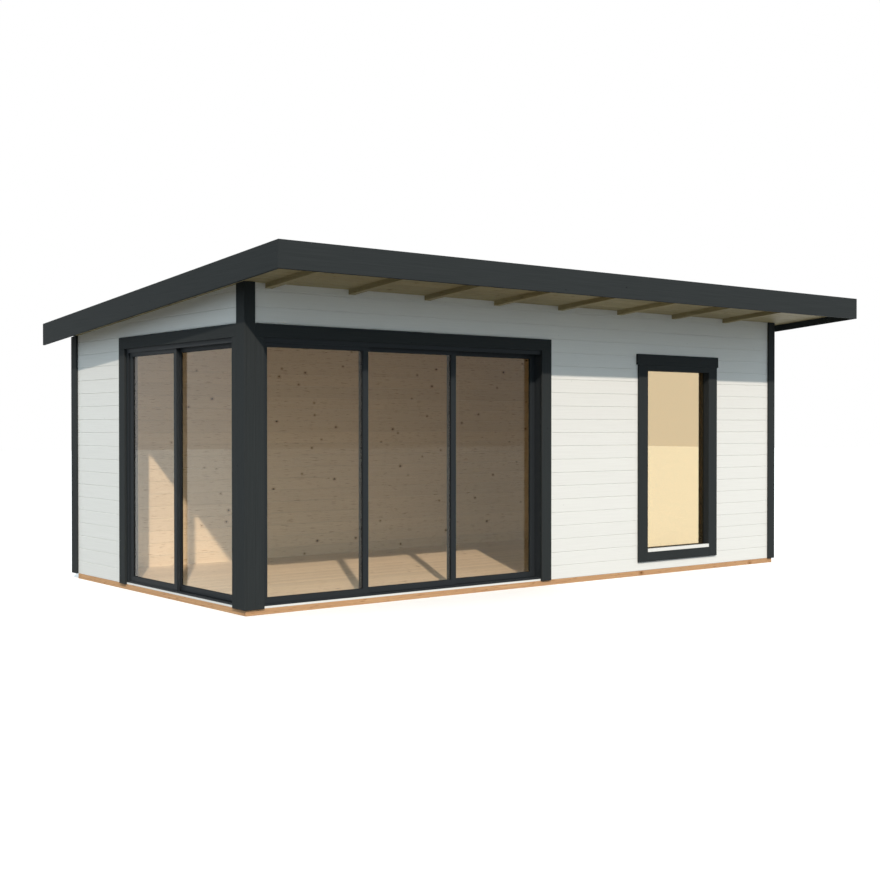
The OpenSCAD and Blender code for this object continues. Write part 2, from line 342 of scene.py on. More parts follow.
@dataclass(frozen=True)
class PaintedWood(BoardFinish):
    """Opaque paint brushed on planed boards: even colour, with the grain and the knots just telling."""

    name: str = "painted_boards"
    colour: str = "#eef0ec"
    streak: str = "#eaece8"
    knot: str = "#e0e3df"
    grain_width: float = 5 * MM
    grain_length: float = 500 * MM
    relief: float = 0.15 * MM
    tone_spread: float = 0.015
    knots: Knots = Knots(cell=260 * MM, radius=8 * MM, share=0.3)

    def pattern(self, g: Graph) -> Sockets:
        """Draws the paint's brush streaks, board tones and covered knots.

        Args:
            g: The material's graph.

        Returns:
            What the shader's sockets get.
        """
        inside, halo = self.knots.mask(g)
        brushed = {"Vector": g.on_boards(self.grain_length, self.grain_width), "Scale": 1.0}
        streaks = g.add("TexNoise", {**brushed, "Detail": 3.0, "Roughness": 0.6}, noise_dimensions="2D")
        paint = g.add("ValToRGB", {"Fac": streaks}, stops=((0.35, self.streak), (0.65, self.colour)))
        # resin lifts the paint a little over a knot
        height = g.add("Math", {0: halo, 1: streaks}, operation="ADD")
        bump = g.add("Bump", {"Strength": 0.4, "Distance": self.relief, "Height": height})
        return self.knotted(g, inside, self.toned(g, paint, 1.0), bump)


@dataclass(frozen=True)
class Grained(Finish):
    """A finish of one colour with a fine even grain, such as powder coat, rubber or roofing."""

    name: str = "powder_coat"
    slot: str = "dark_aluminium"
    colour: str = "#2b2f32"
    speck: str = "#313639"
    # a powder coat's grain is a tenth of this, which would not show
    grit: float = 1.2 * MM
    relief: float = 0.05 * MM
    roughness: float = 0.45
    specular: float = 0.06

    def pattern(self, g: Graph) -> Sockets:
        """Draws the finish's grit.

        Args:
            g: The material's graph.

        Returns:
            What the shader's sockets get.
        """
        place = g.add("TexCoord").outputs["Object"]
        grit = g.add("TexNoise", {"Vector": place, "Scale": 1 / self.grit, "Detail": 2.0})
        tint = g.add("ValToRGB", {"Fac": grit}, stops=((0.4, self.colour), (0.7, self.speck)))
        bump = g.add("Bump", {"Strength": 0.5, "Distance": self.relief, "Height": grit})
        gloss = {"Roughness": self.roughness, "Specular IOR Level": self.specular}
        return {"Base Color": tint, "Normal": bump, **gloss}


@dataclass(frozen=True)
class BronzeGlass(Finish):
    """Float glass with a thin bronze tint: clear, with faint waves from the float bath."""

    name: str = "bronze_float_glass"
    slot: str = "tinted_glass"
    tint: str = "#f6ecdc"
    lamp_tint: str = "#fdfaf5"
    mirror: float = 0.0
    # below glass's 1.5, so that the pale surroundings show less in the panes
    ior: float = 1.33
    wave: float = 700 * MM
    relief: float = 0.02 * MM

    def pattern(self, g: Graph) -> Sockets:
        """Draws the glass's waves.

        Args:
            g: The material's graph.

        Returns:
            What the shader's sockets get.
        """
        place = g.add("TexCoord").outputs["Object"]
        waves = g.add("TexNoise", {"Vector": place, "Scale": 1 / self.wave, "Detail": 1.0})
        return {
            "Base Color": linear(self.tint),
            "Roughness": 0.0,
            "IOR": self.ior,
            "Metallic": self.mirror,
            "Transmission Weight": 1.0,
            "Normal": g.add("Bump", {"Strength": 0.3, "Distance": self.relief, "Height": waves}),
        }

    def surface(self, g: Graph, shader: Node) -> Node:
        """Lets the lamps' light, and the light that bounces about the room, straight through.

        Args:
            g: The material's graph.
            shader: The glass.

        Returns:
            The node that the surface shows.
        """
        through = g.add("BsdfTransparent", {"Color": linear(self.lamp_tint)})
        path = g.add("LightPath")
        for ray in ("Is Shadow Ray", "Is Diffuse Ray"):
            shader = g.add("MixShader", {0: path.outputs[ray], 1: shader, 2: through})
        return shader


class Look(Enum):
    """The cabin's finishes."""

    # two coats of opaque paint: flat and even, with hardly a shine
    WHITE = PaintedWood(name="matt_white_paint_on_boards")
    # a dark coat shows the brushed grain more than a white one
    DARK = PaintedWood(
        name="dark_grey_paint_on_boards",
        slot="dark_trim_boards",
        colour="#363a3b",
        streak="#323637",
        knot="#25282a",
        specular=0.02,
        relief=0.25 * MM,
        tone_spread=0.06,
    )
    # planed and left bare: pale and warm, with small crisp knots
    PINE = BareWood(name="planed_pine_boards")
    # better boards than the walls', so with fewer knots
    FLOOR = BareWood(name="planed_pine_floor", pale="#efe6d8", ring="#e8ddcd", knots=Knots(share=0.12))
    # painted shade: this pine is darker and more olive than the other pine, standing in for the shade and
    # green bounce light under the eave; each board a little otherwise
    SOFFIT = BareWood(
        name="impregnated_pine_under_the_roof",
        pale="#a69a75",
        ring="#988c68",
        knot="#5a4c34",
        tone_spread=0.14,
    )
    # sawn, not planed, and pressure-treated brown: dull, with coarse fibres
    TREATED = BareWood(
        name="sawn_treated_timber",
        slot="treated_timber",
        pale="#d6ab7e",
        ring="#c2966f",
        knot="#7a5330",
        roughness=0.8,
        fibre_width=2.5 * MM,
        knots=Knots(cell=320 * MM, radius=10 * MM, share=0.3),
    )
    # extruded, then powder-coated: an even satin
    ALUMINIUM = Grained(name="powder_coated_aluminium")
    # extruded rubber: black and dull
    RUBBER = Grained(
        name="black_rubber_seal", slot="roof_membrane", colour="#16181a", speck="#1d1f21", roughness=0.7
    )
    # bitumen felt with crushed stone pressed in: quite dull, with pale specks
    MEMBRANE = Grained(
        name="sanded_roofing_felt",
        slot="roof_membrane",
        colour="#2a2c2e",
        speck="#3c3f42",
        grit=3 * MM,
        relief=0.6 * MM,
        roughness=0.9,
    )
    GLASS = BronzeGlass()
    # a thin metal film on bronze glass: a warm mirror by day
    COATED = BronzeGlass(name="coated_bronze_glass", tint="#f3deb6", lamp_tint="#e6dcc4", mirror=0.65)


# ---- meshes ----


@dataclass(frozen=True)
class Run:
    """Where a straight piece starts, and the ways along its length, across its face and out of it."""

    start: Vector
    along: Vector
    across: Vector
    out: Vector

    def at(self, u: float, v: float, w: float) -> Vector:
        """Returns the point u along, v across and w out."""
        return self.start + self.along * u + self.across * v + self.out * w


class Timber:
    """One mesh of many straight pieces, each with its own stretch of grain."""

    GRAIN = "grain"
    TONE = "tone"
    # how far apart two pieces' stretches of grain may be
    SPREAD = 40.0

    def __init__(self, node: str, kind: str, *looks: Look) -> None:
        """Starts an empty mesh, whose name also seeds its grain.

        Args:
            node: The solids it stands for or goes with.
            kind: What its pieces are, which ends its name.
            looks: The finishes, in the order of the material slots.
        """
        self.node = node
        self.name = f"{node}_{kind}"
        self.looks = looks
        self.look = 0
        self.mesh = bmesh.new()
        self.grain = self.mesh.loops.layers.uv.new(self.GRAIN)
        self.tone = self.mesh.faces.layers.float.new(self.TONE)
        self.random = random.Random(self.name)

    def prism(self, run: Run, section: Sequence[Point2], length: float) -> list[BMFace]:
        """Adds a straight piece of one section.

        Args:
            run: Its place and directions.
            section: Points across and out, in order round the section.
            length: How far it runs.

        Returns:
            Its faces.
        """
        rings = []
        for u in (0.0, length):
            rings.append([self.mesh.verts.new(run.at(u, v, w)) for v, w in section])
        faces = [self.mesh.faces.new(rings[0]), self.mesh.faces.new(reversed(rings[1]))]
        for index, corner in enumerate(rings[0]):
            after = (index + 1) % len(section)
            faces.append(self.mesh.faces.new((rings[0][after], corner, rings[1][index], rings[1][after])))
        self.dress(faces, run)
        return faces

    def board(self, run: Run, sizes: Sequence[float], ease: float = 1.5 * MM) -> None:
        """Adds a board with all its edges eased.

        Args:
            run: The corner it starts from, and its directions.
            sizes: Its sizes along, across and out.
            ease: How much of each edge is rounded off.
        """
        length, width, depth = sizes
        faces = self.prism(run, ((0.0, 0.0), (width, 0.0), (width, depth), (0.0, depth)), length)
        edges = list({edge for face in faces for edge in face.edges})
        made = bmesh.ops.bevel(
            self.mesh, geom=edges, offset=ease, offset_type="OFFSET", segments=2, profile=0.5, affect="EDGES"
        )
        whole = [face for face in faces if face.is_valid]
        whole += [face for face in made["faces"] if face not in whole]
        self.dress(whole, run)

    def block(self, low: Vector, high: Vector, ways: Sequence[Vector], ease: float = 1.5 * MM) -> None:
        """Adds an eased board that fills a box.

        Args:
            low: The box's lowest corner.
            high: Its highest corner.
            ways: The ways along its grain, across its face and out of it.
            ease: How much of each edge is rounded off.
        """
        start, sizes = low.copy(), []
        for way in ways:
            axis = max(range(3), key=lambda i: abs(way[i]))
            sizes.append(high[axis] - low[axis])
            if way[axis] < 0:
                start[axis] = high[axis]
        self.board(Run(start, *ways), sizes, ease)

    def ring(
        self, run: Run, size: Point2, section: Sequence[Point2], rail: Callable[[float], float] = float
    ) -> None:
        """Adds a frame of four mitred bars.

        Args:
            run: The frame's outer lower corner. Along is its width, across its height, out its depth.
            size: Its width and height.
            section: Points as distances in from the outer edge and out, in order round the section.
            rail: Turns an upright bar's distance in to that of a level bar.
        """
        width, height = size
        rows = []
        for inset, w in section:
            level = rail(inset)
            right, top = width - inset, height - level
            ends = ((inset, level), (right, level), (right, top), (inset, top))
            rows.append([self.mesh.verts.new(run.at(u, v, w)) for u, v in ends])
        for index, row in enumerate(rows):
            nearby = rows[(index + 1) % len(rows)]
            for side in range(4):
                after = (side + 1) % 4
                face = self.mesh.faces.new((row[side], row[after], nearby[after], nearby[side]))
                ways = (run.across, run.along) if side % 2 else (run.along, run.across)
                self.dress([face], Run(run.start, *ways, run.out))

    def dress(self, faces: Sequence[BMFace], run: Run) -> None:
        """Gives the faces of one piece their finish, tone and stretch of grain.

        Args:
            faces: The piece's faces.
            run: Its directions.
        """
        tone = self.random.random()
        shift = (self.random.uniform(0, self.SPREAD), self.random.uniform(0, self.SPREAD))
        for face in faces:
            face.material_index = self.look
            face[self.tone] = tone
            face.normal_update()
            end = abs(face.normal.dot(run.along)) > 0.9
            for loop in face.loops:
                place = loop.vert.co
                side = place.dot(run.across) + place.dot(run.out)
                length = place.dot(run.out) if end else place.dot(run.along)
                loop[self.grain].uv = (length + shift[0], side + shift[1])

    def split(self, point: Vector, normal: Vector, clear: bool = False) -> None:
        """Parts every face along a plane.

        Args:
            point: A point on the plane.
            normal: The way beyond it.
            clear: Whether what lies beyond is cut away.
        """
        geometry = self.mesh.verts[:] + self.mesh.edges[:] + self.mesh.faces[:]
        bmesh.ops.bisect_plane(
            self.mesh, geom=geometry, dist=1e-6, plane_co=point, plane_no=normal, clear_outer=clear
        )

    def end_under(self, plane: "RoofPlane") -> None:
        """Cuts the boards off along the slope where their solid ends, and closes their ends.

        Args:
            plane: The slope.
        """
        solid = bpy.data.objects[self.node].data.vertices
        top = max((vertex.co for vertex in solid), key=lambda co: co.z + plane.slope * co.y)
        self.split(top.copy(), Vector((0.0, plane.slope, 1.0)), clear=True)
        open_edges = [edge for edge in self.mesh.edges if edge.is_boundary]
        bmesh.ops.holes_fill(self.mesh, edges=open_edges, sides=0)

    def place(self, body: str = "cabin", replaces: bool = True) -> None:
        """Turns the mesh to a piece of the cabin.

        Args:
            body: The body it rides on.
            replaces: Whether it stands for its solids.
        """
        bmesh.ops.recalc_face_normals(self.mesh, faces=self.mesh.faces[:])
        data = bpy.data.meshes.new(self.name)
        self.mesh.to_mesh(data)
        self.mesh.free()
        for look in self.looks:
            data.materials.append(look.value.material())
        piece = add_object(self.name, data)
        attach(piece, body)
        if replaces:
            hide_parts(self.node)
        LOG.info("%s: %d faces on %s", self.name, len(data.polygons), body)


def add_object(name: str, data: ID) -> Object:
    """Puts an object into the scene.

    Args:
        name: The object's name.
        data: Its mesh, lamp or lens.

    Returns:
        The object.
    """
    thing = bpy.data.objects.new(name, data)
    bpy.context.scene.collection.objects.link(thing)
    return thing


def mirrored(half: Sequence[Point2], depth: float) -> list[Point2]:
    """Completes a section with the mirror image of its first half.

    Args:
        half: Points across and out, up to the middle of the depth.
        depth: The whole section's depth.

    Returns:
        The points round the whole section.
    """
    return [*half, *((inset, depth - out) for inset, out in reversed(half))]


def seal_section(bar: float, tuck: float, face: float, proud: float) -> list[Point2]:
    """Gives a rubber seal that is tucked under a bar's edge and lips onto the glass.

    Args:
        bar: The bar's width.
        tuck: How far the seal goes under the bar.
        face: How far out the glass's face is.
        proud: How far the seal stands off that face, below 0 on the outside.

    Returns:
        The points round the seal's section.
    """
    lip, off = 2 * MM, face + proud
    return [(bar - tuck, face), (bar + lip, face), (bar + lip / 2, off), (bar - tuck, off)]


class Side(Enum):
    """The cabin's sides, each with the way out of it."""

    FRONT = (0.0, -1.0, 0.0)
    BACK = (0.0, 1.0, 0.0)
    LEFT = (-1.0, 0.0, 0.0)
    RIGHT = (1.0, 0.0, 0.0)

    @classmethod
    def of(cls, node: str) -> "Side":
        """Returns the side that a node's name starts with."""
        return cls[node.split("_")[0].upper()]

    @property
    def ways(self) -> tuple[Vector, Vector]:
        """The level way along the side, and the way out of it."""
        out = Vector(self.value)
        return (RIGHT if out.y else BACK), out


def spans(node: str, axis: int) -> list[Point2]:
    """Reads where a node's like solids lie along an axis.

    Args:
        node: The node's name.
        axis: 0 for X or 1 for Y.

    Returns:
        The low and high end of each solid.
    """
    solids = bpy.data.objects[node].data.vertices
    ends = sorted({round(vertex.co[axis], 4) for vertex in solids})
    return list(zip(ends[0::2], ends[1::2]))


def boxes(node: str, axis: int) -> Iterator[tuple[Vector, Vector]]:
    """Reads the box of each of a node's like solids.

    Args:
        node: The node's name.
        axis: The axis that the solids are spaced along, as in spans.

    Yields:
        A solid's lowest and highest corner.
    """
    for start, end in spans(node, axis):
        low, high = (corner.copy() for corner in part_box(node))
        low[axis], high[axis] = start, end
        yield low, high


def courses(low: float, high: float, cover: float) -> Iterator[Point2]:
    """Lays boards side by side between two places.

    Args:
        low: Where the first board starts.
        high: Where the last one ends, cut to its width.
        cover: The width that a board covers.

    Yields:
        A board's near edge and its width.
    """
    for index in range(math.ceil((high - low) / cover)):
        near = low + index * cover
        yield near, min(cover, high - near)


def dress_node(node: str, look: Look, ease: float = 0.0) -> None:
    """Gives a solid that keeps its shape its finish, with its edges eased.

    Args:
        node: The node's name.
        look: Its finish.
        ease: How much of each edge is rounded off.
    """
    solid = bpy.data.objects[node]
    solid.data.materials.clear()
    solid.data.materials.append(look.value.material())
    if ease:
        solid.modifiers.new("Weld", "WELD").merge_threshold = 0.01 * MM
        bevel = solid.modifiers.new("Ease", "BEVEL")
        bevel.width = ease
        bevel.segments = 2
        bevel.limit_method = "ANGLE"
        bevel.harden_normals = False
    LOG.info("%s keeps its solid in %s", node, look.name)


@dataclass(frozen=True)
class RoofPlane:
    """The slope that the fascias' lower edges lie in."""

    front: float
    front_height: float
    slope: float
    fascia: float

    @classmethod
    def read(cls) -> "RoofPlane":
        """Reads the slope from the front and back fascias.

        Returns:
            The plane.
        """
        low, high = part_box("front_fascia")
        back_low, back_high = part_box("back_fascia")
        slope = (high.z - back_high.z) / (back_low.y - low.y)
        front_height = low.z + slope * (high.y - low.y)
        return cls(low.y, front_height, slope, high.z - front_height)

    @property
    def fall(self) -> Vector:
        """The way down the roof, for one metre of depth."""
        return Vector((0.0, 1.0, -self.slope))

    def height(self, y: float, rise: float = 0.0) -> float:
        """Returns the height of a parallel plane above the ground."""
        return self.front_height - self.slope * (y - self.front) + rise

    def point(self, x: float, y: float, rise: float = 0.0) -> Vector:
        """Returns a point on a parallel plane."""
        return Vector((x, y, self.height(y, rise)))

    def rises(self, node: str) -> Point2:
        """Returns how far a node's lower and upper faces are above the fascias' lower edges."""
        low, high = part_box(node)
        return low.z - self.height(high.y), high.z - self.height(low.y)


# ---- base, walls and floor ----


@dataclass
class Base:
    """Sawn treated beams round the cabin, with bearers between them."""

    ease: float = 2 * MM

    def build(self) -> None:
        """Builds the beams and bearers."""
        for node, axis, along, across in (
            ("long_base_beams", 1, RIGHT, BACK),
            ("short_base_beams", 0, BACK, RIGHT),
            ("floor_bearers", 0, BACK, RIGHT),
        ):
            timber = Timber(node, "timber", Look.TREATED)
            for low, high in boxes(node, axis):
                timber.block(low, high, (along, across, UP), self.ease)
            timber.place()


@dataclass
class BoardedWalls:
    """Walls of tongue-and-groove boards laid level, painted outside and bare inside."""

    plane: RoofPlane
    cover: float = 114 * MM
    bevel: float = 2.5 * MM
    gap: float = 1.2 * MM
    gap_depth: float = 6 * MM
    # a smaller part of a course than this is left out
    least: float = 0.001
    walls: tuple[str, ...] = (
        "front_wall_over_door",
        "front_wall_middle",
        "front_wall_over_window",
        "front_wall_under_window",
        "front_wall_right",
        "left_wall_over_door",
        "left_wall_rear",
        "right_wall",
        "back_wall",
    )

    def build(self) -> None:
        """Builds the post, every wall, and the blocks that close the rafters' bays over them."""
        self.post()
        for node in self.walls:
            timber = self.timber(node)
            self.stack(timber, *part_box(node), *Side.of(node).ways)
            timber.end_under(self.plane)
            self.bare_inside(timber)
        self.blocks()

    def timber(self, node: str) -> Timber:
        """Starts the mesh of a wall."""
        return Timber(node, "boards", Look.WHITE, Look.PINE)

    def section(self, height: float, depth: float) -> list[Point2]:
        """Draws a board's section: both faces bevelled at its edges, with a narrow gap under it.

        Args:
            height: The board's height.
            depth: The wall's thickness.

        Returns:
            The points round the section.
        """
        b = min(self.bevel, height / 3)
        foot = min(self.gap, height / 6)
        groove = ((0.0, self.gap_depth), (foot, self.gap_depth), (foot, b))
        return mirrored((*groove, (foot + b, 0.0), (height - b, 0.0), (height, b)), depth)

    def stack(self, timber: Timber, low: Vector, high: Vector, along: Vector, out: Vector) -> None:
        """Lays boards from a box's foot to its top.

        Args:
            timber: The mesh.
            low: The box's lowest corner.
            high: Its highest corner.
            along: The way that the boards run.
            out: The way out of the building.
        """
        axis = 0 if out.x else 1
        inner = low.copy()
        if out[axis] < 0:
            inner[axis] = high[axis]
        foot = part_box("long_base_beams")[1].z
        first = math.floor((low.z - foot) / self.cover + self.least)
        last = math.ceil((high.z - foot) / self.cover - self.least)
        for index in range(first, last):
            course = foot + index * self.cover
            start, end = max(low.z, course), min(high.z, course + self.cover)
            # boards at one level on one side are one board, cut by the openings
            timber.random.seed(f"{axis} {out[axis]} {index}")
            run = Run(Vector((inner.x, inner.y, start)), along, UP, out)
            section = self.section(end - start, high[axis] - low[axis])
            timber.prism(run, section, (high - low).dot(along))

    def post(self) -> None:
        """Builds the two narrow walls that meet between the doors."""
        timber = self.timber("corner_post")
        low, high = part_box("corner_post")
        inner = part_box("left_wall_rear")[1].x
        front = low.y + inner - low.x
        self.stack(timber, low, Vector((inner, high.y, high.z)), *Side.LEFT.ways)
        self.stack(timber, Vector((inner, low.y, low.z)), Vector((high.x, front, high.z)), *Side.FRONT.ways)
        self.bare_inside(timber)

    def bare_inside(self, timber: Timber) -> None:
        """Leaves the faces that look into the room unpainted, and places the wall.

        Args:
            timber: The wall's mesh.
        """
        margin = 2 * self.bevel
        left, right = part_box("left_wall_rear")[1].x - margin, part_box("right_wall")[0].x + margin
        front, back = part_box("front_wall_middle")[1].y - margin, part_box("back_wall")[0].y + margin
        timber.split(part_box("back_wall")[1], BACK)
        for face in timber.mesh.faces:
            face.normal_update()
            middle = face.calc_center_median()
            if left < middle.x < right and front < middle.y < back:
                face.material_index = 1
        timber.place()

    def blocks(self) -> None:
        """Builds the blocks between the rafters, over the front and back walls."""
        node = "rafter_blocks"
        timber = self.timber(node)
        lower, upper = self.plane.rises(node)
        for start, end in spans(node, 0):
            for near, far in spans(node, 1):
                run = Run(self.plane.point(start, near, lower), RIGHT, UP, self.plane.fall)
                timber.board(run, (end - start, upper - lower, far - near), 0.5 * MM)
        self.bare_inside(timber)


@dataclass
class PlankFloor:
    """Planed boards laid along the room, with a narrow joint between them."""

    cover: float = 96 * MM
    bevel: float = 1.2 * MM

    def build(self) -> None:
        """Builds the floor."""
        low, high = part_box("floor_boards")
        timber = Timber("floor_boards", "planks", Look.FLOOR)
        depth = high.z - low.z
        for near, width in courses(low.y, high.y, self.cover):
            b = min(self.bevel, width / 3)
            top = ((width, depth - b), (width - b, depth), (b, depth), (0.0, depth - b))
            run = Run(Vector((low.x, near, low.z)), RIGHT, BACK, UP)
            timber.prism(run, ((0.0, 0.0), (width, 0.0), *top), high.x - low.x)
        timber.place()


# ---- roof ----


@dataclass
class Roof:
    """Rafters with boards between them, a boarded deck, felt, and fascia boards all round."""

    plane: RoofPlane
    rafter_ease: float = 3 * MM
    ceiling_cover: float = 96 * MM
    ceiling_bevel: float = 3 * MM
    fascia_ease: float = 2 * MM
    felt_width: float = 1000 * MM
    felt_lap: float = 80 * MM
    # where a strip has risen onto the next one, and where it starts to, in sheets before the lap
    felt_rise: tuple[int, int] = (1, 4)

    def build(self) -> None:
        """Builds the roof."""
        self.rafters()
        self.ceiling()
        dress_node("roof_boards", Look.PINE)
        self.felt()
        self.fascias()

    def rafters(self) -> None:
        """Builds the rafters."""
        low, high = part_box("rafters")
        lower, upper = self.plane.rises("rafters")
        timber = Timber("rafters", "timber", Look.SOFFIT)
        for start, end in spans("rafters", 0):
            run = Run(self.plane.point(start, low.y, lower), self.plane.fall, RIGHT, UP)
            timber.board(run, (high.y - low.y, end - start, upper - lower), self.rafter_ease)
        timber.place()

    def ceiling(self) -> None:
        """Builds the boards between the rafters, with bevelled joints below."""
        low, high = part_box("ceiling_boards")
        lower, upper = self.plane.rises("ceiling_boards")
        depth = upper - lower
        timber = Timber("ceiling_boards", "planks", Look.SOFFIT)
        b = self.ceiling_bevel
        for near, width in courses(low.y, high.y, self.ceiling_cover):
            section = ((b, 0.0), (width - b, 0.0), (width, b), (width, depth), (0.0, depth), (0.0, b))
            for start, end in spans("ceiling_boards", 0):
                run = Run(self.plane.point(start, near, lower), RIGHT, self.plane.fall, UP)
                timber.prism(run, section, end - start)
        timber.place()

    def felt(self) -> None:
        """Builds the felt in strips that lap down the slope."""
        low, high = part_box("roof_covering")
        lower, upper = self.plane.rises("roof_covering")
        sheet = (upper - lower) / 2
        top, foot = (sheet * count for count in self.felt_rise)
        timber = Timber("roof_covering", "felt", Look.MEMBRANE)
        for near, width in courses(low.y, high.y, self.felt_width):
            end = width + min(self.felt_lap, high.y - near - width)
            lap = []
            if end > width:
                lap = [(end, sheet), (end, 2 * sheet), (width - top, 2 * sheet), (width - foot, sheet)]
            section = [(0.0, 0.0), (width, 0.0), (width, sheet), *lap, (0.0, sheet)]
            run = Run(self.plane.point(low.x, near, lower), RIGHT, self.plane.fall, UP)
            timber.prism(run, section, high.x - low.x)
        timber.place()

    def fascias(self) -> None:
        """Builds the fascia boards, each as one long board."""
        for node in ("front_fascia", "back_fascia"):
            low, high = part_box(node)
            lower, upper = self.plane.rises(node)
            timber = Timber(node, "board", Look.DARK)
            run = Run(self.plane.point(low.x, low.y, lower), RIGHT, UP, self.plane.fall)
            timber.board(run, (high.x - low.x, upper - lower, high.y - low.y), self.fascia_ease)
            timber.place()
        low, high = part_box("side_fascias")
        timber = Timber("side_fascias", "boards", Look.DARK)
        for start, end in spans("side_fascias", 0):
            run = Run(self.plane.point(start, low.y), self.plane.fall, UP, RIGHT)
            timber.board(run, (high.y - low.y, self.plane.fascia, end - start), self.fascia_ease)
        timber.place()


# ---- trim boards ----


@dataclass
class Trim:
    """Dark boards over the corners and round the openings, screwed to the walls."""

    plane: RoofPlane
    ease: float = 2 * MM
    screw_radius: float = 3.5 * MM
    screw_rise: float = 0.5 * MM
    screw_sides: int = 12
    screw_spacing: float = 550 * MM
    screw_inset: float = 22 * MM

    def build(self) -> None:
        """Builds every trim board but the window's."""
        for end in (Side.FRONT, Side.BACK):
            for side in (Side.LEFT, Side.RIGHT):
                self.corner(end, side)
        for node in ("front_door_header_trim", "left_door_header_trim"):
            timber = Timber(node, "board", Look.DARK)
            self.plank(timber, *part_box(node), *Side.of(node).ways)
            timber.place()
        for node, axis in (("front_door_side_trims", 0), ("left_door_side_trims", 1)):
            timber = Timber(node, "boards", Look.DARK)
            for low, high in boxes(node, axis):
                self.plank(timber, low, high, UP, Side.of(node).ways[1])
            timber.place()

    def plank(self, timber: Timber, low: Vector, high: Vector, along: Vector, out: Vector) -> None:
        """Adds one board and pairs of low screw heads along its face.

        Args:
            timber: The mesh.
            low: The board's lowest corner.
            high: Its highest corner.
            along: The way it runs.
            out: The way its face looks.
        """
        across = Vector([abs(part) for part in along.cross(out)])
        timber.block(low, high, (along, across, out), self.ease)
        size = high - low
        length, width = size.dot(along), size.dot(across)
        rows = [self.screw_inset, width - self.screw_inset]
        if width < 3 * self.screw_inset:
            rows = [width / 2]
        reach = length - 2 * self.screw_inset
        steps = max(1, math.ceil(reach / self.screw_spacing))
        face = Run(low, along, across, out)
        turns = [2 * math.pi * k / self.screw_sides for k in range(self.screw_sides)]
        outline = [(self.screw_radius * math.cos(turn), self.screw_radius * math.sin(turn)) for turn in turns]
        for step in range(steps + 1):
            for v in rows:
                centre = face.at(self.screw_inset + step * reach / steps, v, max(0.0, size.dot(out)))
                timber.prism(Run(centre, out, along, across), outline, self.screw_rise)

    def corner(self, end: Side, side: Side) -> None:
        """Builds the two boards that wrap one corner.

        Args:
            end: The front or the back.
            side: The left or the right.
        """
        node = f"{end.name}_{side.name}_corner_boards".lower()
        timber = Timber(node, "pair", Look.DARK)
        left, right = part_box("left_wall_rear"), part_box("right_wall")
        outer, face = [[corner.copy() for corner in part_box(node)] for _ in range(2)]
        # which corner of the side's board, 0 or 1, is against the wall
        inner = 1 if side is Side.LEFT else 0
        outer[inner].x = face[1 - inner].x = left[0].x if side is Side.LEFT else right[1].x
        if end is Side.FRONT:
            face[1].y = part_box("front_wall_middle")[0].y
        else:
            face[0].y = left[1].y
        self.plank(timber, *outer, UP, side.ways[1])
        self.plank(timber, *face, UP, end.ways[1])
        timber.end_under(self.plane)
        timber.place()


# ---- doors and window ----


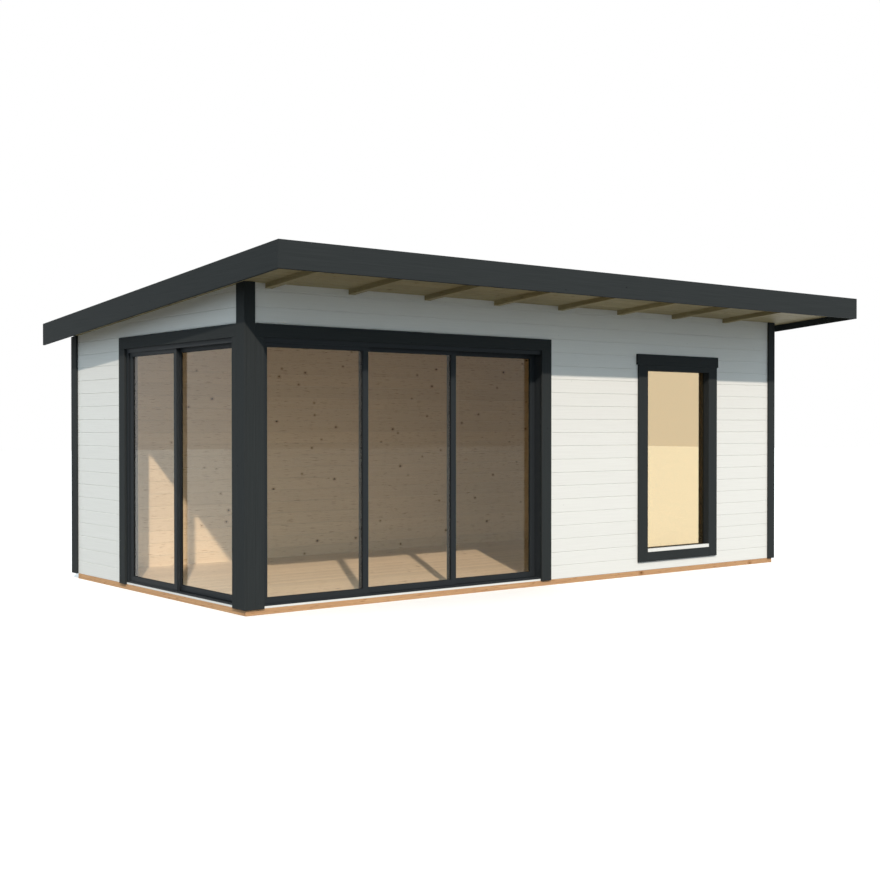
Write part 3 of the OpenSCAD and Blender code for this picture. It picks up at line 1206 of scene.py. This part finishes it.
@dataclass
class SlidingUnits:
    """Aluminium sliding units: frames, mitred sashes, rubber seals and tinted glass."""

    frame_ease: float = 1.0 * MM
    bar: float = 50 * MM
    rail_less: float = 6 * MM
    bead: float = 9 * MM
    bead_step: float = 2.5 * MM
    ease: float = 0.8 * MM
    glass: float = 6 * MM
    edge_work: float = 0.4 * MM
    seal_tuck: float = 1 * MM
    seal_proud: float = 3.5 * MM
    # each leaf's sash and the body it rides on
    leaves: tuple[tuple[str, str], ...] = (
        ("front_fixed_sash", "cabin"),
        ("front_middle_sash", "front_middle_leaf"),
        ("front_right_sash", "front_right_leaf"),
        ("left_fixed_sash", "cabin"),
        ("left_sliding_sash", "left_leaf"),
    )

    def build(self) -> None:
        """Builds both units."""
        for node in ("front_door_frame", "left_door_frame"):
            dress_node(node, Look.ALUMINIUM, self.frame_ease)
        for sash, body in self.leaves:
            self.leaf(sash, body)
        for node in ("front_middle_glass", "front_right_glass", "left_sliding_glass"):
            dress_node(node, Look.GLASS)
        self.fixed_panes()
        self.sills()

    def section(self, depth: float) -> list[Point2]:
        """Draws a sash bar's section, with a glazing bead on both faces.

        Args:
            depth: The sash's depth.

        Returns:
            The points round the section.
        """
        e, low = self.ease, self.bead_step
        step = self.bar - self.bead
        bead = ((step, low), (self.bar - e, low), (self.bar, low + e))
        return mirrored(((0.0, e), (e, 0.0), (step - low / 2, 0.0), *bead), depth)

    def rail(self, inset: float) -> float:
        """Returns how far in a level bar's edge is, from that of an upright bar, which is wider."""
        return inset - self.rail_less if inset > self.bar / 2 else inset

    def leaf(self, node: str, body: str) -> None:
        """Builds a leaf's sash, and its seals on both faces of the glass.

        Args:
            node: The sash.
            body: The body it rides on.
        """
        low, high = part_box(node)
        along, out = Side.of(node).ways
        size = high - low
        depth = size.dot(-out)
        run = Run(low, along, UP, -out)
        sash = Timber(node, "bars", Look.ALUMINIUM)
        sash.ring(run, (size.dot(along), size.z), self.section(depth), self.rail)
        sash.place(body)
        seals = Timber(node, "seals", Look.RUBBER)
        for way in (-1, 1):
            face = (depth + way * self.glass) / 2
            section = seal_section(self.bar, self.seal_tuck, face, way * self.seal_proud)
            seals.ring(run, (size.dot(along), size.z), section, self.rail)
        seals.place(body, replaces=False)

    def fixed_panes(self) -> None:
        """Builds the three fixed sheets: clear bronze in the two units, coated in the window."""
        panes = Timber("fixed_glass", "panes", Look.GLASS, Look.COATED)
        for sash in ("front_fixed_sash", "left_fixed_sash"):
            low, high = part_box(sash)
            along, out = Side.of(sash).ways
            face = ((high - low).dot(-out) - self.glass) / 2
            inset = along * self.bar + UP * self.rail(self.bar) - out * face
            panes.block(low + inset, high - inset, (along, UP, -out), self.edge_work)
        window = FixedWindow
        low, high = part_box("window_frame")
        corner = low + Vector((window.bar, window.glass_in, window.bar))
        far = Vector((high.x - window.bar, corner.y + window.glass, high.z - window.bar))
        panes.look = 1
        panes.block(corner, far, (RIGHT, UP, BACK), self.edge_work)
        panes.place()

    def sills(self) -> None:
        """Builds the white boards that the frames stand on."""
        timber = Timber("door_sill_boards", "pair", Look.WHITE)
        wall_low, wall_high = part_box("left_wall_rear")
        for axis, node in enumerate(("front_door_frame", "left_door_frame")):
            low, high = (corner.copy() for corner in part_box("door_sill_boards"))
            low[axis], high[axis] = (corner[axis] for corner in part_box(node))
            high[1 - axis] = low[1 - axis] + wall_high.x - wall_low.x
            along, out = Side.of(node).ways
            timber.block(low, high, (along, UP, out))
        timber.place()


@dataclass
class FixedWindow:
    """A tall fixed window in a deep frame, with dark boards round it and a white sill."""

    trim: Trim
    bar: float = 40 * MM
    header: float = 98 * MM
    ear: float = 18 * MM
    ease: float = 1.5 * MM
    glass_in: float = 43 * MM
    glass: float = 6 * MM
    seal_proud: float = 2 * MM

    def build(self) -> None:
        """Builds the window."""
        low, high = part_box("window_frame")
        run, size = Run(low, RIGHT, UP, BACK), (high.x - low.x, high.z - low.z)
        frame = Timber("window_frame", "bars", Look.DARK)
        half = ((0.0, 0.0), (self.bar - self.ease, 0.0), (self.bar, self.ease))
        frame.ring(run, size, mirrored(half, high.y - low.y))
        frame.place()
        seals = Timber("window", "seals", Look.RUBBER)
        for face, way in ((self.glass_in, -1), (self.glass_in + self.glass, 1)):
            seals.ring(run, size, seal_section(self.bar, self.ease, face, way * self.seal_proud))
        seals.place(replaces=False)
        self.boards(low, high)
        sill = Timber("window_sill", "board", Look.WHITE)
        sill.block(*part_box("window_sill"), (RIGHT, UP, -BACK), self.ease)
        sill.place()

    def boards(self, low: Vector, high: Vector) -> None:
        """Builds the boards round the window.

        Args:
            low: The frame's lowest corner.
            high: Its highest corner.
        """
        outer_low, outer_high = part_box("window_trim")
        left, right = low.x + self.bar, high.x - self.bar
        foot, top, header = outer_low.z, high.z - self.bar, outer_high.z - self.header
        timber = Timber("window_trim", "boards", Look.DARK)
        for x0, x1, z0, z1, along in (
            (outer_low.x, outer_high.x, header, outer_high.z, RIGHT),
            (left, right, top, header, RIGHT),
            (left, right, foot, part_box("window_sill")[0].z, RIGHT),
            (outer_low.x + self.ear, left, foot, header, UP),
            (right, outer_high.x - self.ear, foot, header, UP),
        ):
            corner, far = Vector((x0, outer_low.y, z0)), Vector((x1, outer_high.y, z1))
            self.trim.plank(timber, corner, far, along, -BACK)
        timber.place()


# ---- stage ----


@dataclass
class Stage:
    """A pale floor and backdrop, a low sun and an even sky."""

    floor_half: float = 60.0
    # the light that bounces off the floor is that of a greyer one
    floor_colour: str = "#6f6d6a"
    floor_seen: str = "#fcfbf8"
    # what the eye sees of the floor glows a little, so that it meets the backdrop in white
    floor_glow: float = 0.2
    sky: str = "#d9e9f4"
    sky_strength: float = 1.02
    sun_colour: str = "#fff0e2"
    sun_strength: float = 2.7
    sun_angle: float = 1.0
    sun_way: tuple[float, float, float] = (0.405, 0.70, -0.51)
    camera_place: tuple[float, float, float] = (-7.601, -9.561, 1.351)
    camera_yaw: float = 38.297
    camera_pitch: float = -0.592
    camera_roll: float = -0.012
    lens: float = 52.98
    sensor: float = 36.0

    def build(self) -> None:
        """Builds the floor, the lights and the camera."""
        self.floor()
        self.world()
        self.sun()
        self.camera()

    def seen_as(self, g: Graph, lights: Node, seen: Node) -> Node:
        """Shows one shader to the eye and the glass, and lights the cabin with another.

        Args:
            g: The material's or the world's graph.
            lights: What the rays that only carry light meet.
            seen: What the camera sees, directly or in glass.

        Returns:
            The node of the two together.
        """
        path = g.add("LightPath")
        total = path.outputs["Is Camera Ray"]
        for ray in ("Is Glossy Ray", "Is Transmission Ray"):
            total = g.add("Math", {0: total, 1: path.outputs[ray]}, operation="ADD", use_clamp=True)
        return g.add("MixShader", {0: total, 1: lights, 2: seen})

    def floor(self) -> None:
        """Builds the floor."""
        h = self.floor_half
        data = bpy.data.meshes.new("floor")
        data.from_pydata([(-h, -h, 0), (h, -h, 0), (h, h, 0), (-h, h, 0)], [], [(0, 1, 2, 3)])
        add_object("floor", data)
        g = Graph.named("pale_floor")
        grey, pale = (
            g.add("BsdfDiffuse", {"Color": linear(colour)}) for colour in (self.floor_colour, self.floor_seen)
        )
        glow = g.add("Emission", {"Strength": self.floor_glow})
        white = g.add("AddShader", {0: pale, 1: glow})
        g.add("OutputMaterial", {"Surface": self.seen_as(g, grey, white)})
        data.materials.append(g.holder)

    def world(self) -> None:
        """Makes the sky, which the camera and the glass see as a plain white backdrop."""
        world = bpy.data.worlds.new("even_sky")
        bpy.context.scene.world = world
        g = Graph(world)
        sky = g.add("Background", {"Color": linear(self.sky), "Strength": self.sky_strength})
        plain = g.add("Background", {"Color": linear("#ffffff")})
        g.add("OutputWorld", {"Surface": self.seen_as(g, sky, plain)})

    def sun(self) -> None:
        """Makes the sun, low and hard enough for a crisp shadow of the eave."""
        lamp = bpy.data.lights.new("sun", "SUN")
        lamp.energy = self.sun_strength
        lamp.angle = math.radians(self.sun_angle)
        lamp.color = linear(self.sun_colour)[:3]
        sun = add_object("sun", lamp)
        sun.rotation_euler = Vector(self.sun_way).to_track_quat("-Z", "Y").to_euler()

    def camera(self) -> None:
        """Makes the camera, level at eye height off the left front corner."""
        lens = bpy.data.cameras.new("camera")
        lens.lens = self.lens
        lens.sensor_width = self.sensor
        camera = add_object("camera", lens)
        turn = Matrix.Rotation(math.radians(-self.camera_yaw), 4, "Z")
        tilt = Matrix.Rotation(math.radians(90 + self.camera_pitch), 4, "X")
        roll = Matrix.Rotation(math.radians(self.camera_roll), 4, "Z")
        camera.matrix_world = Matrix.Translation(self.camera_place) @ turn @ tilt @ roll
        bpy.context.scene.camera = camera


def main() -> None:
    """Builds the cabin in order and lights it."""
    logging.basicConfig(level=logging.INFO, format="%(name)s: %(message)s")
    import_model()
    plane = RoofPlane.read()
    trim = Trim(plane)
    Stage().build()
    Base().build()
    BoardedWalls(plane).build()
    PlankFloor().build()
    Roof(plane).build()
    trim.build()
    SlidingUnits().build()
    FixedWindow(trim).build()
    bpy.context.scene.view_settings.view_transform = "Standard"


if __name__ == "__main__":
    main()
